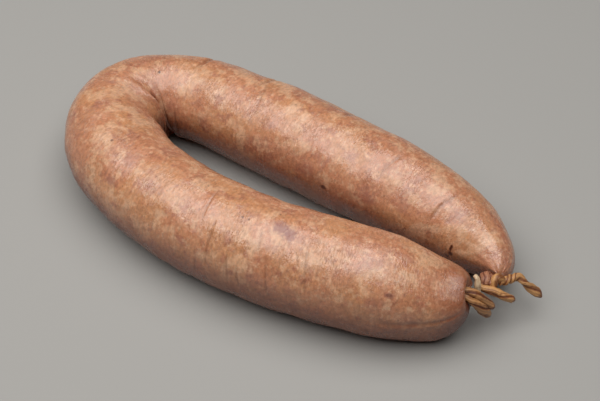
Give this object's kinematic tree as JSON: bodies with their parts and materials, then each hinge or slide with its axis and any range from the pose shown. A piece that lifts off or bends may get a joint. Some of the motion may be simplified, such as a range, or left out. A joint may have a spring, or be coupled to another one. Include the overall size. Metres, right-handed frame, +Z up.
{
  "type": "raw coarse sausage ring, bent into a horseshoe with its ends tied",
  "caption": "Fresh coarse sausage in natural casing, bent into a horseshoe and lying flat, its puckered ends tied together with twisted casing.",
  "frame": {"origin": "bottom centre of the bounding box, on the surface that the sausage rests on", "axes": "+X from the bend to the tied ends, +Y from the near arm to the far arm, +Z up"},
  "size_m": [0.2089, 0.0988, 0.0387],
  "materials": {
    "casing": "moist semi-gloss natural casing, mottled pink and tan meat with pale fat showing through",
    "dry_casing": "twisted, half dried casing, golden tan with brown grooves",
    "pale_casing": "smooth flattened strip of casing, cream"
  },
  "bodies": {
    "root": {"sausage": "casing", "near_tail": "dry_casing", "middle_tail": "dry_casing", "far_tail": "dry_casing", "knot": "dry_casing", "tie_band": "pale_casing"}
  },
  "joints": []
}
